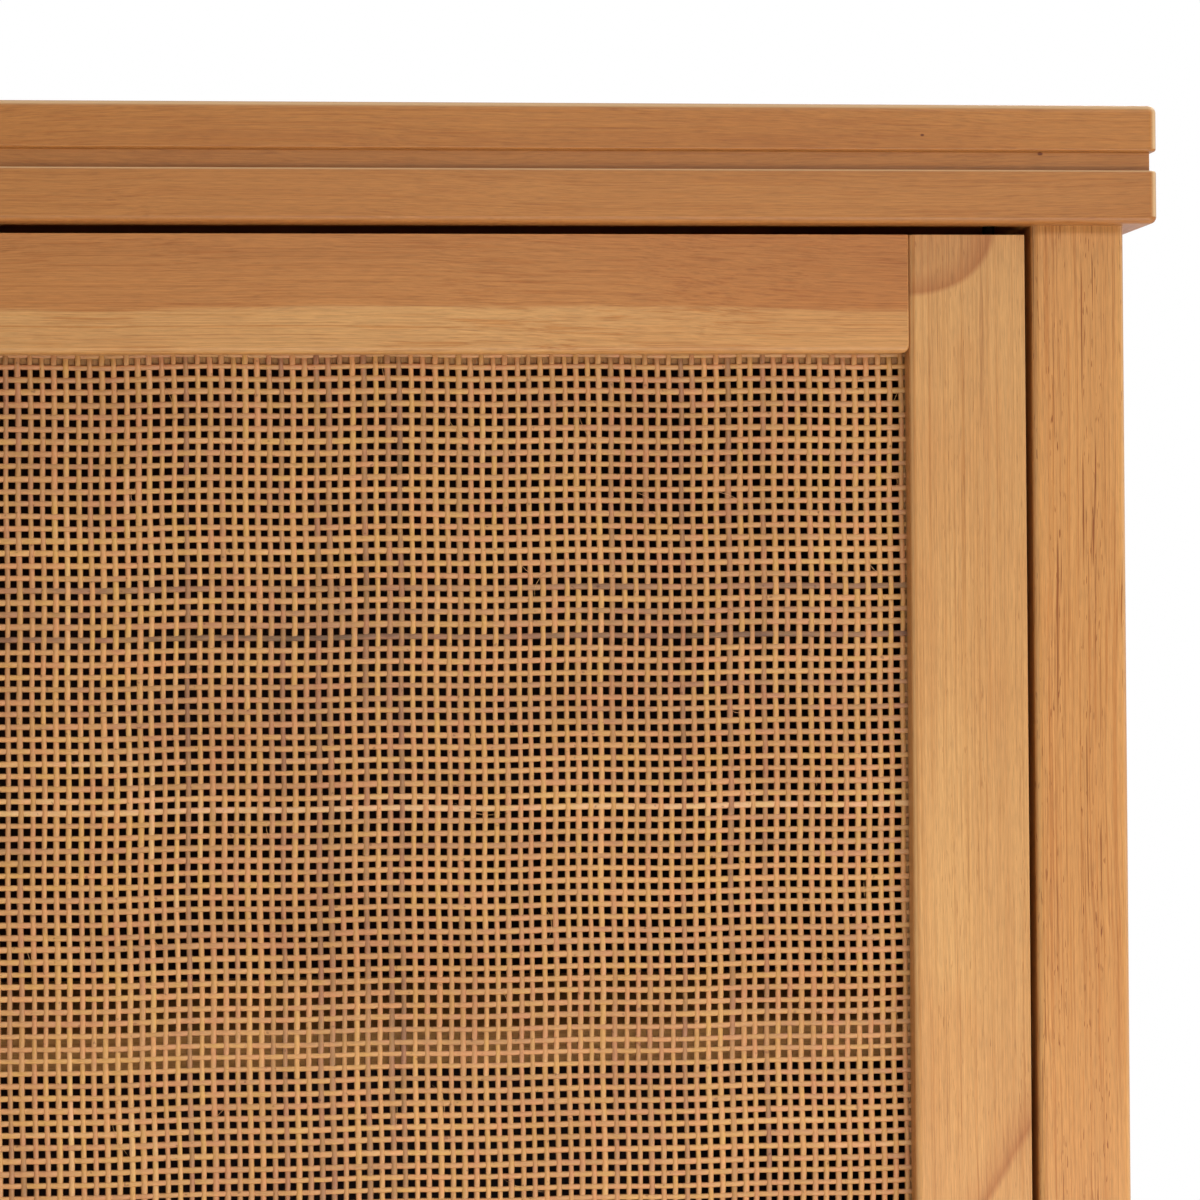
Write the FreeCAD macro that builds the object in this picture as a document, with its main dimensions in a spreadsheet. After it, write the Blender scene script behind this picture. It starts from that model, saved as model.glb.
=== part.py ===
import FreeCAD, Part
import math
import os
import Sketcher

# A pine shoe cabinet with two woven cane doors. Its origin is on the floor under the middle of its
# outer box, the doors face -Y and the right-hand door is on +X. Right-hand pieces are drawn, and their
# left-hand twins are mirrored from them.

DIMENSIONS = {
    # the outside
    "width": 1120,
    "depth": 360,
    "height": 970,
    "overhang": 12,
    "back_inset": 2,
    # the top, in three layers
    "board_thick": 19.5,
    "spacer_thick": 8,
    "frame_thick": 22.5,
    "groove_deep": 3,
    "frame_wide": 60,
    "corner_round": 4,
    "top_round": 3,
    "lip_round": 1.2,
    # posts, rails and panels of the carcass
    "post": 40,
    "post_round": 3.5,
    "edge_round": 1.2,
    "glide_thick": 3,
    "glide_radius": 13,
    "leg_clear": 110,
    "front_rail_high": 40,
    "rail_high": 60,
    "rail_thick": 20,
    "side_rail_in": 5,
    "back_rail_in": 13,
    "tenon_long": 18,
    "tenon_thick": 8,
    "tenon_shoulder": 10,
    "panel_thick": 8,
    "back_thick": 6,
    "panel_deep": 8,
    "muntin_wide": 40,
    "bottom_thick": 15,
    "partition_thick": 18,
    # shelves
    "shelf_thick": 18,
    "shelf_top_drop": 338,
    "shelf_setback": 30,
    "shelf_play": 1,
    "peg_radius": 2.5,
    "peg_long": 18,
    "peg_sunk": 8,
    "peg_from_edge": 5,
    "partition_peg_in": 28,
    # doors
    "door_thick": 20,
    "stile_wide": 50,
    "side_gap": 3,
    "top_gap": 4,
    "bottom_gap": 3,
    "inner_round": 3,
    "door_tenon_long": 30,
    "door_tenon_thick": 7,
    "door_tenon_in": 4,
    "door_tenon_shoulder": 9,
    "cane_in": 11.3,
    "cane_thick": 1.8,
    "rebate": 8,
    "cane_play": 0.5,
    "bead_thick": 6.4,
    "bead_side_show": 1.5,
    "bead_top_show": 5,
    # pivots
    "pivot_from_edge": 14,
    "pivot_from_front": 8,
    "pin_radius": 2.5,
    "pin_sunk": 20,
    "pin_reach": 10,
    "collar_radius": 4.5,
    "collar_clear": 0.4,
    "bush_radius": 4.5,
    "bush_long": 12,
    "running_play": 0.05,
    # knobs
    "knob_reach": 25,
    "knob_base": 8,
    "knob_head": 14,
    "knob_widest": 17,
    "knob_waist": 7.5,
    "knob_brim_round": 1.5,
    # screws
    "screw_radius": 2,
    "screw_head": 4,
    "screw_head_high": 2.4,
    "knob_screw_long": 28,
    "bracket_screw_long": 14,
    "partition_screw_long": 45,
    # catches
    "catch_wide": 12,
    "catch_deep": 26,
    "catch_high": 40,
    "catch_drop": 20,
    "catch_gap": 0.3,
    "magnet_wide": 6,
    "magnet_deep": 10,
    "magnet_high": 28,
    "strike_wide": 22,
    "strike_high": 30,
    "strike_thick": 1.2,
    # brackets under the top
    "bracket_leg": 28,
    "bracket_wide": 20,
    "bracket_thick": 2,
    "bracket_from_post": 50,
    # holes for fixing the back to a wall
    "wall_hole_radius": 2.5,
    "wall_hole_spacing": 800,
}

doc = FreeCAD.newDocument("shoe_cabinet")
sheet = doc.addObject("Spreadsheet::Sheet", "Dims")
for row, (alias, value) in enumerate(DIMENSIONS.items(), 1):
    sheet.set(f"A{row}", alias)
    sheet.set(f"B{row}", str(value))
    sheet.setAlias(f"B{row}", alias)
doc.recompute()

# Places, as expressions on the sheet. Heights are above the floor and depths go towards the back.
half = "(Dims.width / 2)"
outer = "(Dims.width / 2 - Dims.overhang)"
inner = f"({outer} - Dims.post)"
top_front = "((Dims.knob_reach - Dims.overhang) / 2 - Dims.depth / 2)"
top_rear = f"({top_front} + Dims.depth)"
front = f"({top_front} + Dims.overhang)"
rear = f"({top_rear} - Dims.back_inset)"
front_post_back = f"({front} + Dims.post)"
back_post_front = f"({rear} - Dims.post)"
frame_low = "(Dims.height - Dims.board_thick - Dims.spacer_thick - Dims.frame_thick)"
spacer_low = "(Dims.height - Dims.board_thick - Dims.spacer_thick)"
board_low = "(Dims.height - Dims.board_thick)"
upper_rail_low = f"({frame_low} - Dims.rail_high)"
lower_rail_high = "(Dims.leg_clear + Dims.rail_high)"
floor_top = "(Dims.leg_clear + Dims.front_rail_high)"
side_rail_x = f"({outer} - Dims.side_rail_in - Dims.rail_thick)"
side_panel_x = f"({side_rail_x} + (Dims.rail_thick - Dims.panel_thick) / 2)"
back_rail_y = f"({rear} - Dims.back_rail_in - Dims.rail_thick)"
back_panel_y = f"({back_rail_y} + (Dims.rail_thick - Dims.back_thick) / 2)"
shelf_front = f"({front} + Dims.shelf_setback)"
upper_shelf_low = f"({frame_low} - Dims.shelf_top_drop - Dims.shelf_thick)"
lower_shelf_low = f"(({floor_top} + {upper_shelf_low} - Dims.shelf_thick) / 2)"
hinge_edge = f"({inner} - Dims.side_gap)"
meeting_edge = "(Dims.side_gap / 2)"
door_low = f"({floor_top} + Dims.bottom_gap)"
door_high = f"({frame_low} - Dims.top_gap)"
opening_left = f"({meeting_edge} + Dims.stile_wide)"
opening_right = f"({hinge_edge} - Dims.stile_wide)"
opening_low = f"({door_low} + Dims.stile_wide)"
opening_high = f"({door_high} - Dims.stile_wide)"
door_back = f"({front} + Dims.door_thick)"
pivot_x = f"({hinge_edge} - Dims.pivot_from_edge)"
pivot_y = f"({front} + Dims.pivot_from_front)"
knob_x = f"({meeting_edge} + Dims.stile_wide / 2)"
knob_z = f"(({door_low} + {door_high}) / 2)"
catch_high = f"({frame_low} - Dims.catch_drop)"
catch_low = f"({catch_high} - Dims.catch_high)"
catch_front = f"({door_back} + Dims.catch_gap)"

TURNS = {
    "+x": FreeCAD.Rotation(FreeCAD.Vector(0, 1, 0), 90),
    "+y": FreeCAD.Rotation(FreeCAD.Vector(1, 0, 0), -90),
    "+z": FreeCAD.Rotation(),
}
TOLERANCE = 1e-6

subparts = []
stock_corner = {}


# ---- helpers ----

def value(expression):
    return float(sheet.evalExpression(expression))


def less(end, start):
    return f"({end} - {start})"


def plus(*terms):
    return "(" + " + ".join(terms) + ")"


def along(point, direction, distance):
    """The point moved by a distance along a direction such as "+y"."""
    moved = list(point)
    axis = "xyz".index(direction[1])
    moved[axis] = f"({point[axis]} {direction[0]} {distance})"
    return tuple(moved)


def place(part, corner):
    for axis, value in zip("xyz", corner):
        part.setExpression(f"Placement.Base.{axis}", value)


def origin_plane(body, role):
    return next(feature for feature in body.Origin.OriginFeatures if feature.Role == role)


def close_loop(sketch, count):
    for line in range(count):
        sketch.addConstraint(Sketcher.Constraint("Coincident", line, 2, (line + 1) % count, 1))


def join_at(sketch, first, second, point):
    """Join two neighbours where they meet. An arc's ends may be stored either way round."""
    ends = []
    for line in (first, second):
        ends += [line, min((1, 2), key=lambda end: sketch.getPoint(line, end).distanceToPoint(point))]
    sketch.addConstraint(Sketcher.Constraint("Coincident", *ends))


def add_sketch(body, name, corner):
    """A sketch parallel to XY whose origin is a point of the cabinet."""
    sketch = body.newObject("Sketcher::SketchObject", name)
    sketch.AttachmentSupport = (origin_plane(body, "XY_Plane"), [""])
    sketch.MapMode = "FlatFace"
    for axis, value, start in zip("xyz", corner, stock_corner[body.Name]):
        sketch.setExpression(f"AttachmentOffset.Base.{axis}", f"{value} - {start}")
    return sketch


def block(body, kind, name, corner, size):
    """Add (Pad) or cut away (Pocket) a rectangular block, given its lowest corner and its size."""
    sketch = add_sketch(body, name + "_outline", corner)
    wide, deep = value(size[0]), value(size[1])
    points = [FreeCAD.Vector(*spot) for spot in [(0, 0), (wide, 0), (wide, deep), (0, deep)]]
    for start, end in zip(points, points[1:] + points[:1]):
        sketch.addGeometry(Part.LineSegment(start, end), False)
    close_loop(sketch, len(points))
    for line, way in enumerate(["Horizontal", "Vertical", "Horizontal", "Vertical"]):
        sketch.addConstraint(Sketcher.Constraint(way, line))
    sketch.addConstraint(Sketcher.Constraint("Coincident", 0, 1, -1, 1))
    width_rule = sketch.addConstraint(Sketcher.Constraint("DistanceX", 0, 1, 0, 2, wide))
    depth_rule = sketch.addConstraint(Sketcher.Constraint("DistanceY", 1, 1, 1, 2, deep))
    sketch.setExpression(f"Constraints[{width_rule}]", size[0])
    sketch.setExpression(f"Constraints[{depth_rule}]", size[1])
    feature = body.newObject("PartDesign::" + kind, name)
    feature.Profile = sketch
    feature.setExpression("Length", size[2])
    feature.Reversed = kind == "Pocket"
    return feature


def new_body(name, corner):
    body = doc.addObject("PartDesign::Body", name)
    place(body, corner)
    stock_corner[body.Name] = corner
    return body


def board(name, corner, size):
    body = new_body(name, corner)
    block(body, "Pad", name + "_stock", corner, size)
    return body


def round_edges(body, radius, edges):
    """Round the edges of a body, each named by the two sides it lies between, such as "+x -y"."""
    doc.recompute()
    base = body.Tip
    box = base.Shape.BoundBox
    ends = {"-x": box.XMin, "+x": box.XMax, "-y": box.YMin, "+y": box.YMax, "-z": box.ZMin, "+z": box.ZMax}

    def lies_on(edge, side):
        values = [getattr(vertex.Point, side[1]) for vertex in edge.Vertexes]
        return all(abs(value - ends[side]) < TOLERANCE for value in values)

    chosen = []
    for number, edge in enumerate(base.Shape.Edges, 1):
        if any(all(lies_on(edge, side) for side in pair.split()) for pair in edges):
            chosen.append(f"Edge{number}")
    fillet = body.newObject("PartDesign::Fillet", body.Name + "_round")
    fillet.Base = (base, chosen)
    fillet.setExpression("Radius", radius)


def cylinder(name, centre, direction, radius, length):
    part = doc.addObject("Part::Cylinder", name)
    part.Placement = FreeCAD.Placement(FreeCAD.Vector(), TURNS[direction])
    place(part, centre)
    part.setExpression("Radius", radius)
    part.setExpression("Height", length)
    return part


def box(name, corner, size):
    part = doc.addObject("Part::Box", name)
    place(part, corner)
    for side, value in zip(["Length", "Width", "Height"], size):
        part.setExpression(side, value)
    return part


def fuse(name, parts):
    whole = doc.addObject("Part::MultiFuse", name)
    whole.Shapes = parts
    return whole


def cut(name, base, tools):
    """The base with the shapes of its neighbours or tools cut out of it."""
    result = doc.addObject("Part::Cut", name)
    result.Base = base
    result.Tool = tools[0] if len(tools) == 1 else group(name + "_tools", tools)
    return result


def group(name, parts):
    whole = doc.addObject("Part::Compound", name)
    whole.Links = parts
    return whole


def screw(name, seat, direction, length):
    """A pan-head screw: its head sits on the seat, and its shank points in the direction given."""
    behind = "-" if direction[0] == "+" else "+"
    head_start = along(seat, behind + direction[1], "Dims.screw_head_high")
    head = cylinder(name + "_head", head_start, direction, "Dims.screw_head", "Dims.screw_head_high")
    shank = cylinder(name + "_shank", seat, direction, "Dims.screw_radius", length)
    return fuse(name, [head, shank])


def mirrored(part, name):
    twin = doc.addObject("Part::Mirroring", name)
    twin.Source = part
    twin.Normal = FreeCAD.Vector(1, 0, 0)
    return twin


def keep(part, label):
    """Label a finished sub-part and hand it in."""
    part.Label = label
    subparts.append(part)
    return part


def keep_pair(part, label):
    """Hand in a right-hand sub-part and its left-hand twin."""
    keep(part, label + "_right")
    keep(mirrored(part, label + "_left_twin"), label + "_left")
    return part


# ---- hardware that other pieces are bored for ----

def make_pivots():
    """Steel pins in the top and bottom edges of a door, and the brass bushes that they turn in."""
    lower_start = (pivot_x, pivot_y, less(floor_top, "Dims.pin_reach"))
    lower_long = plus("Dims.pin_reach", "Dims.bottom_gap", "Dims.pin_sunk")
    lower_pin = cylinder("lower_pin", lower_start, "+z", "Dims.pin_radius", lower_long)
    collar_start = (pivot_x, pivot_y, plus(floor_top, "Dims.collar_clear"))
    collar_long = less("Dims.bottom_gap", "Dims.collar_clear")
    collar = cylinder("pin_collar", collar_start, "+z", "Dims.collar_radius", collar_long)
    upper_start = (pivot_x, pivot_y, less(door_high, "Dims.pin_sunk"))
    upper_long = plus("Dims.pin_sunk", "Dims.top_gap", "Dims.pin_reach")
    upper_pin = cylinder("upper_pin", upper_start, "+z", "Dims.pin_radius", upper_long)
    pins = group("pivot_pins", [fuse("lower_pivot", [lower_pin, collar]), upper_pin])
    bores, bushes = [], []
    for name, low in [("lower", less(floor_top, "Dims.bush_long")), ("upper", frame_low)]:
        start = (pivot_x, pivot_y, low)
        bore = cylinder(name + "_bush_outside", start, "+z", "Dims.bush_radius", "Dims.bush_long")
        inside = plus("Dims.pin_radius", "Dims.running_play")
        hole = cylinder(name + "_bush_bore", start, "+z", inside, "Dims.bush_long")
        bores.append(bore)
        bushes.append(cut(name + "_bush", bore, [hole]))
    return pins, bores, bushes


def make_shelf_pegs():
    """Steel pegs in the post and partition faces, four under each right-hand shelf."""
    front_peg = plus(shelf_front, "Dims.peg_from_edge")
    back_peg = plus(back_post_front, "Dims.peg_radius")
    inner_front_peg = plus(shelf_front, "Dims.partition_peg_in")
    inner_back_peg = less(back_rail_y, "Dims.partition_peg_in")
    partition_side = "(Dims.partition_thick / 2 - Dims.peg_sunk)"
    pegs = []
    for level, low in [("lower", lower_shelf_low), ("upper", upper_shelf_low)]:
        height = less(low, "Dims.peg_radius")
        spots = [
            (less(plus(inner, "Dims.peg_sunk"), "Dims.peg_long"), front_peg),
            (less(plus(inner, "Dims.peg_sunk"), "Dims.peg_long"), back_peg),
            (partition_side, inner_front_peg),
            (partition_side, inner_back_peg),
        ]
        for number, (start, across) in enumerate(spots, 1):
            name = f"{level}_peg_{number}"
            pegs.append(cylinder(name, (start, across, height), "+x", "Dims.peg_radius", "Dims.peg_long"))
    return pegs


def make_brackets():
    """Steel angle brackets that hold the top to the upper side rails, and their screws."""
    brackets, screws = [], []
    starts = {
        "front": plus(front_post_back, "Dims.bracket_from_post"),
        "back": less(less(back_post_front, "Dims.bracket_from_post"), "Dims.bracket_wide"),
    }
    for end, start in starts.items():
        leg_x = less(side_rail_x, "Dims.bracket_leg")
        flat_low = less(frame_low, "Dims.bracket_thick")
        flat = box(f"bracket_{end}_flat", (leg_x, start, flat_low),
                   ("Dims.bracket_leg", "Dims.bracket_wide", "Dims.bracket_thick"))
        upright_start = (less(side_rail_x, "Dims.bracket_thick"), start, less(frame_low, "Dims.bracket_leg"))
        upright = box(f"bracket_{end}_upright", upright_start,
                      ("Dims.bracket_thick", "Dims.bracket_wide", "Dims.bracket_leg"))
        middle = plus(start, "Dims.bracket_wide / 2")
        reach = "(Dims.bracket_leg * 0.6)"
        up = screw(f"bracket_{end}_screw_up", (less(side_rail_x, reach), middle, flat_low), "+z",
                   "Dims.bracket_screw_long")
        seat = (less(side_rail_x, "Dims.bracket_thick"), middle, less(frame_low, reach))
        side = screw(f"bracket_{end}_screw_side", seat, "+x", "Dims.bracket_screw_long")
        brackets.append(cut(f"bracket_{end}", fuse(f"bracket_{end}_blank", [flat, upright]), [up, side]))
        screws += [up, side]
    return brackets, screws


pivot_pins, bush_bores, pivot_bushes = make_pivots()
shelf_pegs = make_shelf_pegs()
top_brackets, bracket_screws = make_brackets()


# ---- the top ----

def mitred_length(name, corners):
    """One length of the lower frame, whose mitred outline is four corners seen from above. A corner is
    two distances from the origin, each with the sign of its direction in front."""
    body = new_body(name, ("0", "0", frame_low))
    sketch = add_sketch(body, name + "_outline", ("0", "0", frame_low))
    points = [FreeCAD.Vector(*(float(far[0] + "1") * value(far[1:]) for far in corner)) for corner in corners]
    for start, end in zip(points, points[1:] + points[:1]):
        sketch.addGeometry(Part.LineSegment(start, end), False)
    close_loop(sketch, len(points))
    for line, corner in enumerate(corners):
        for rule, far in zip(("DistanceX", "DistanceY"), corner):
            # a distance is kept positive by measuring it in the corner's own direction
            ends = (-1, 1, line, 1) if far[0] == "+" else (line, 1, -1, 1)
            number = sketch.addConstraint(Sketcher.Constraint(rule, *ends, value(far[1:])))
            sketch.setExpression(f"Constraints[{number}]", far[1:])
    pad = body.newObject("PartDesign::Pad", name + "_pad")
    pad.Profile = sketch
    pad.setExpression("Length", "Dims.frame_thick")
    return body


def rounded_slab(name, low, thickness, outside, inside):
    """A slab of the top's full outline with round corners, softer on one face (outside) than the other."""
    slab = board(name, ("-" + half, top_front, low), ("Dims.width", "Dims.depth", thickness))
    round_edges(slab, "Dims.corner_round", ["-x -y", "+x -y", "-x +y", "+x +y"])
    round_edges(slab, "Dims.top_round", [f"{side} {outside}" for side in ("-x", "+x", "-y", "+y")])
    round_edges(slab, "Dims.lip_round", [f"{side} {inside}" for side in ("-x", "+x", "-y", "+y")])
    return slab


def make_top():
    """A solid board on a mitred frame, with recessed strips between them that leave a groove all round."""
    keep(rounded_slab("top_board_blank", board_low, "Dims.board_thick", "+z", "-z"), "top_board")

    strip = "(Dims.frame_wide - Dims.groove_deep)"
    long_way = "(Dims.width - 2 * Dims.groove_deep)"
    short_way = "(Dims.depth - 2 * Dims.frame_wide)"
    left = f"(Dims.groove_deep - {half})"
    strips = [
        box("spacer_front", (left, plus(top_front, "Dims.groove_deep"), spacer_low),
            (long_way, strip, "Dims.spacer_thick")),
        box("spacer_back", (left, less(top_rear, "Dims.frame_wide"), spacer_low),
            (long_way, strip, "Dims.spacer_thick")),
        box("spacer_right", (less(half, "Dims.frame_wide"), plus(top_front, "Dims.frame_wide"), spacer_low),
            (strip, short_way, "Dims.spacer_thick")),
        box("spacer_left", (left, plus(top_front, "Dims.frame_wide"), spacer_low),
            (strip, short_way, "Dims.spacer_thick")),
    ]
    keep(group("spacer_strips", strips), "top_spacer_strips")

    near, far = f"-(-{top_front})", f"+{top_rear}"
    near_in, far_in = f"-(-{top_front} - Dims.frame_wide)", f"+({top_rear} - Dims.frame_wide)"
    right, right_in = f"+{half}", f"+({half} - Dims.frame_wide)"
    left, left_in = f"-{half}", f"-({half} - Dims.frame_wide)"
    lengths = {
        "front": [(left, near), (right, near), (right_in, near_in), (left_in, near_in)],
        "back": [(right, far), (left, far), (left_in, far_in), (right_in, far_in)],
        "right": [(right, near), (right, far), (right_in, far_in), (right_in, near_in)],
        "left": [(left, far), (left, near), (left_in, near_in), (left_in, far_in)],
    }
    bores = {"front": [bush_bores[1], mirrored(bush_bores[1], "left_upper_bore")]}
    bores["right"] = bracket_screws
    bores["left"] = [mirrored(group("frame_screws", bracket_screws), "left_frame_screws")]
    outline = rounded_slab("frame_outline", frame_low, "Dims.frame_thick", "-z", "+z")
    for side, corners in lengths.items():
        body = doc.addObject("Part::Common", f"frame_{side}_rounded")
        body.Base = outline
        body.Tool = mitred_length(f"frame_{side}_blank", corners)
        if side in bores:
            body = cut(f"frame_{side}_bored", body, bores[side])
        keep(body, f"top_frame_{side}")


make_top()


# ---- the carcass ----

def make_posts():
    """Square legs with mortises and panel grooves; the pegs' holes are bored in their inner faces."""
    low = "Dims.glide_thick"
    size = ("Dims.post", "Dims.post", less(frame_low, low))
    tenon_side_x = plus(side_rail_x, "(Dims.rail_thick - Dims.tenon_thick) / 2")
    groove_low = less(lower_rail_high, "Dims.panel_deep")
    groove_high = less(plus(upper_rail_low, "Dims.panel_deep"), groove_low)
    rail_tenon = "(Dims.rail_high - 2 * Dims.tenon_shoulder)"
    front_tenon = "(Dims.front_rail_high - Dims.tenon_shoulder)"
    for end in ["front", "back"]:
        y = front if end == "front" else back_post_front
        body = board(f"post_{end}_blank", (inner, y, low), size)
        round_edges(body, "Dims.post_round", ["-x -y", "+x -y", "-x +y", "+x +y"])
        mortise_y = less(front_post_back, "Dims.tenon_long") if end == "front" else back_post_front
        for level, start in [("low", "Dims.leg_clear"), ("high", upper_rail_low)]:
            block(body, "Pocket", f"post_{end}_mortise_{level}",
                  (tenon_side_x, mortise_y, plus(start, "Dims.tenon_shoulder")),
                  ("Dims.tenon_thick", "Dims.tenon_long", rail_tenon))
        groove_y = less(front_post_back, "Dims.panel_deep") if end == "front" else back_post_front
        block(body, "Pocket", f"post_{end}_groove", (side_panel_x, groove_y, groove_low),
              ("Dims.panel_thick", "Dims.panel_deep", groove_high))
        if end == "front":
            across = plus(front, "(Dims.rail_thick - Dims.tenon_thick) / 2")
            block(body, "Pocket", "post_front_rail_mortise",
                  (inner, across, plus("Dims.leg_clear", "Dims.tenon_shoulder / 2")),
                  ("Dims.tenon_long", "Dims.tenon_thick", front_tenon))
        else:
            across = plus(back_rail_y, "(Dims.rail_thick - Dims.tenon_thick) / 2")
            for level, start in [("low", "Dims.leg_clear"), ("high", upper_rail_low)]:
                block(body, "Pocket", f"post_back_rail_mortise_{level}",
                      (inner, across, plus(start, "Dims.tenon_shoulder")),
                      ("Dims.tenon_long", "Dims.tenon_thick", rail_tenon))
            block(body, "Pocket", "post_back_panel_groove", (inner, back_panel_y, groove_low),
                  ("Dims.panel_deep", "Dims.back_thick", groove_high))
        keep_pair(cut(f"post_{end}_bored", body, shelf_pegs), f"post_{end}")


def make_side_frames():
    """Upper and lower rails between the posts, tenoned at both ends, with the side panel between."""
    length = less(back_post_front, front_post_back)
    middle = "(Dims.rail_thick - Dims.tenon_thick) / 2"
    for level, low in [("lower", "Dims.leg_clear"), ("upper", upper_rail_low)]:
        corner = (side_rail_x, front_post_back, low)
        body = board(f"side_rail_{level}_blank", corner, ("Dims.rail_thick", length, "Dims.rail_high"))
        inner_side = "+z" if level == "lower" else "-z"
        round_edges(body, "Dims.edge_round", [f"+x {inner_side}", f"-x {inner_side}"])
        tenon_start = (plus(side_rail_x, middle), less(front_post_back, "Dims.tenon_long"),
                       plus(low, "Dims.tenon_shoulder"))
        block(body, "Pad", f"side_rail_{level}_tenons", tenon_start,
              ("Dims.tenon_thick", plus(length, "2 * Dims.tenon_long"),
               "(Dims.rail_high - 2 * Dims.tenon_shoulder)"))
        groove_low = less(lower_rail_high, "Dims.panel_deep") if level == "lower" else upper_rail_low
        block(body, "Pocket", f"side_rail_{level}_groove", (side_panel_x, front_post_back, groove_low),
              ("Dims.panel_thick", length, "Dims.panel_deep"))
        if level == "upper":
            body = cut("side_rail_upper_bored", body, bracket_screws)
        keep_pair(body, f"side_rail_{level}")
    panel_low = less(lower_rail_high, "Dims.panel_deep")
    panel = board("side_panel_blank",
                  (side_panel_x, less(front_post_back, "Dims.panel_deep"), panel_low),
                  ("Dims.panel_thick", plus(length, "2 * Dims.panel_deep"),
                   less(plus(upper_rail_low, "Dims.panel_deep"), panel_low)))
    keep_pair(panel, "side_panel")


def make_front_rail():
    """The rail under the doors. Its tenons enter the front posts, and the lower bushes sit in it."""
    body = board("front_rail_blank", ("-" + inner, front, "Dims.leg_clear"),
                 (f"(2 * {inner})", "Dims.rail_thick", "Dims.front_rail_high"))
    round_edges(body, "Dims.edge_round", ["-y -z", "-y +z"])
    block(body, "Pad", "front_rail_tenons",
          (f"(-{inner} - Dims.tenon_long)", plus(front, "(Dims.rail_thick - Dims.tenon_thick) / 2"),
           plus("Dims.leg_clear", "Dims.tenon_shoulder / 2")),
          (f"(2 * {inner} + 2 * Dims.tenon_long)", "Dims.tenon_thick",
           "(Dims.front_rail_high - Dims.tenon_shoulder)"))
    bores = [bush_bores[0], mirrored(bush_bores[0], "left_lower_bore")]
    keep(cut("front_rail_bored", body, bores), "front_bottom_rail")


def make_back_frame():
    """Two rails and a muntin behind, grooved for the two thin back panels."""
    middle = "(Dims.rail_thick - Dims.tenon_thick) / 2"
    tenon_y = plus(back_rail_y, middle)
    muntin_half = "(Dims.muntin_wide / 2 - Dims.tenon_shoulder / 2)"
    for level, low in [("lower", "Dims.leg_clear"), ("upper", upper_rail_low)]:
        body = board(f"back_rail_{level}_blank", ("-" + inner, back_rail_y, low),
                     (f"(2 * {inner})", "Dims.rail_thick", "Dims.rail_high"))
        block(body, "Pad", f"back_rail_{level}_tenons",
              (f"(-{inner} - Dims.tenon_long)", tenon_y, plus(low, "Dims.tenon_shoulder")),
              (f"(2 * {inner} + 2 * Dims.tenon_long)", "Dims.tenon_thick",
               "(Dims.rail_high - 2 * Dims.tenon_shoulder)"))
        groove_low = less(lower_rail_high, "Dims.panel_deep") if level == "lower" else upper_rail_low
        block(body, "Pocket", f"back_rail_{level}_groove", ("-" + inner, back_panel_y, groove_low),
              (f"(2 * {inner})", "Dims.back_thick", "Dims.panel_deep"))
        mortise_low = less(lower_rail_high, "Dims.tenon_long") if level == "lower" else upper_rail_low
        block(body, "Pocket", f"back_rail_{level}_mortise", ("-" + muntin_half, tenon_y, mortise_low),
              (f"(2 * {muntin_half})", "Dims.tenon_thick", "Dims.tenon_long"))
        if level == "upper":
            spots = {"left": "(-Dims.wall_hole_spacing / 2)", "right": "(Dims.wall_hole_spacing / 2)"}
            height = plus(low, "Dims.rail_high / 2")
            holes = [cylinder(f"wall_hole_{side}", (x, back_rail_y, height), "+y",
                              "Dims.wall_hole_radius", "Dims.rail_thick") for side, x in spots.items()]
            body = cut("back_rail_upper_bored", body, holes)
        keep(body, f"back_rail_{level}")

    muntin = board("muntin_blank", ("(-Dims.muntin_wide / 2)", back_rail_y, lower_rail_high),
                   ("Dims.muntin_wide", "Dims.rail_thick", less(upper_rail_low, lower_rail_high)))
    block(muntin, "Pad", "muntin_tenons",
          ("-" + muntin_half, tenon_y, less(lower_rail_high, "Dims.tenon_long")),
          (f"(2 * {muntin_half})", "Dims.tenon_thick",
           plus(less(upper_rail_low, lower_rail_high), "2 * Dims.tenon_long")))
    grooves = {"left": "(-Dims.muntin_wide / 2)", "right": "(Dims.muntin_wide / 2 - Dims.panel_deep)"}
    for side, start in grooves.items():
        block(muntin, "Pocket", f"muntin_groove_{side}", (start, back_panel_y, lower_rail_high),
              ("Dims.panel_deep", "Dims.back_thick", less(upper_rail_low, lower_rail_high)))
    keep(muntin, "back_muntin")

    panel_low = less(lower_rail_high, "Dims.panel_deep")
    panel_left = "(Dims.muntin_wide / 2 - Dims.panel_deep)"
    panel = board("back_panel_blank", (panel_left, back_panel_y, panel_low),
                  (less(plus(inner, "Dims.panel_deep"), panel_left), "Dims.back_thick",
                   less(plus(upper_rail_low, "Dims.panel_deep"), panel_low)))
    # the tenon's corner leaves the panel a notch above and below
    for level, low in [("low", panel_low), ("high", upper_rail_low)]:
        block(panel, "Pocket", f"back_panel_notch_{level}", (panel_left, back_panel_y, low),
              (less(muntin_half, panel_left), "Dims.back_thick", "Dims.panel_deep"))
    keep_pair(panel, "back_panel")


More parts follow.
